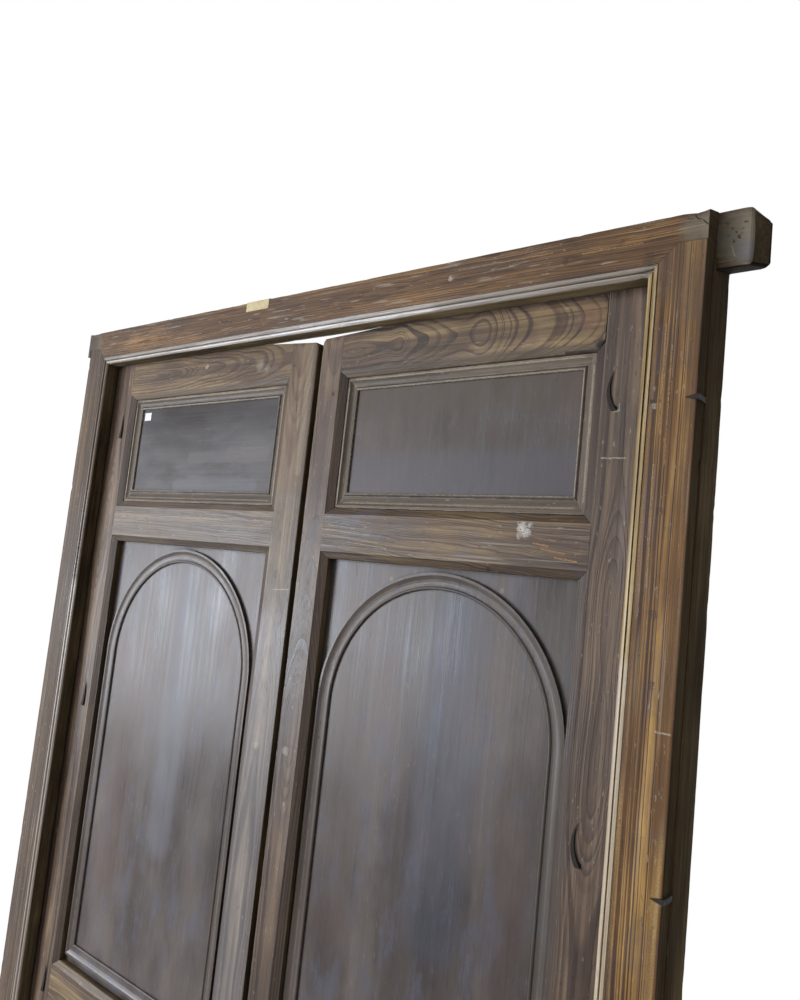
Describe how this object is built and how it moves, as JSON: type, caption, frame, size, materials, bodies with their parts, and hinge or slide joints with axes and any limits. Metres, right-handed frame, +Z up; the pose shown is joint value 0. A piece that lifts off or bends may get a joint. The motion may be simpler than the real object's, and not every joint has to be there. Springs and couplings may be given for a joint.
{
  "type": "panelled double door in its frame",
  "caption": "Old pine double door with two panelled leaves in a moulded frame, each tall panel carved with a round arch, hung on iron eyes.",
  "frame": {"origin": "underside of the threshold, at the middle of its width and depth", "axes": "+X to the right seen from the front, +Y from the front to the back, +Z up"},
  "size_m": [1.5682, 0.1185, 2.25],
  "materials": {
    "frame_pine": "old oiled pine, worn and dry",
    "leaf_pine": "old oiled pine, strong grain",
    "panel_pine": "old pine board with a dull grey sheen",
    "moulding_pine": "old pine moulding, pale on its worn edges",
    "peg_wood": "dry end grain",
    "iron": "hand-forged, black with light rust",
    "tape": "creped paper tape, matt",
    "label": "plain white paper"
  },
  "bodies": {
    "frame": {"frame_pegs": "peg_wood", "left_jamb": "frame_pine", "left_jamb_eye_1": "iron", "left_jamb_eye_2": "iron", "left_jamb_eye_3": "iron", "left_jamb_eye_4": "iron", "lintel": "frame_pine", "masking_tape": "tape", "right_jamb": "frame_pine", "right_jamb_eye_1": "iron", "right_jamb_eye_2": "iron", "right_jamb_eye_3": "iron", "right_jamb_eye_4": "iron", "threshold": "frame_pine"},
    "left_leaf": {"left_arch_panel": "panel_pine", "left_bottom_rail": "leaf_pine", "left_frieze_rail": "leaf_pine", "left_hinge_stile": "leaf_pine", "left_leaf_eye_1": "iron", "left_leaf_eye_2": "iron", "left_leaf_eye_3": "iron", "left_leaf_eye_4": "iron", "left_leaf_pegs": "peg_wood", "left_lock_rail": "leaf_pine", "left_lower_moulding_bottom": "moulding_pine", "left_lower_moulding_hinge_side": "moulding_pine", "left_lower_moulding_meeting_side": "moulding_pine", "left_lower_moulding_top": "moulding_pine", "left_lower_panel": "panel_pine", "left_meeting_stile": "leaf_pine", "left_top_rail": "leaf_pine", "left_upper_moulding_bottom": "moulding_pine", "left_upper_moulding_hinge_side": "moulding_pine", "left_upper_moulding_meeting_side": "moulding_pine", "left_upper_moulding_top": "moulding_pine", "left_upper_panel": "panel_pine", "paper_label": "label"},
    "right_leaf": {"right_arch_panel": "panel_pine", "right_bottom_rail": "leaf_pine", "right_frieze_rail": "leaf_pine", "right_hinge_stile": "leaf_pine", "right_leaf_eye_1": "iron", "right_leaf_eye_2": "iron", "right_leaf_eye_3": "iron", "right_leaf_eye_4": "iron", "right_leaf_pegs": "peg_wood", "right_lock_rail": "leaf_pine", "right_lower_moulding_bottom": "moulding_pine", "right_lower_moulding_hinge_side": "moulding_pine", "right_lower_moulding_meeting_side": "moulding_pine", "right_lower_moulding_top": "moulding_pine", "right_lower_panel": "panel_pine", "right_meeting_stile": "leaf_pine", "right_top_rail": "leaf_pine", "right_upper_moulding_bottom": "moulding_pine", "right_upper_moulding_hinge_side": "moulding_pine", "right_upper_moulding_meeting_side": "moulding_pine", "right_upper_moulding_top": "moulding_pine", "right_upper_panel": "panel_pine"}
  },
  "joints": [
    {"name": "left_leaf_hinge", "type": "hinge", "parent": "frame", "child": "left_leaf", "pos_m": [-0.6895, 0.061, 1], "axis": [0, 0, 1], "range_deg": [0, 110]},
    {"name": "right_leaf_hinge", "type": "hinge", "parent": "frame", "child": "right_leaf", "pos_m": [0.6895, 0.061, 1], "axis": [0, 0, -1], "range_deg": [0, 110]}
  ]
}
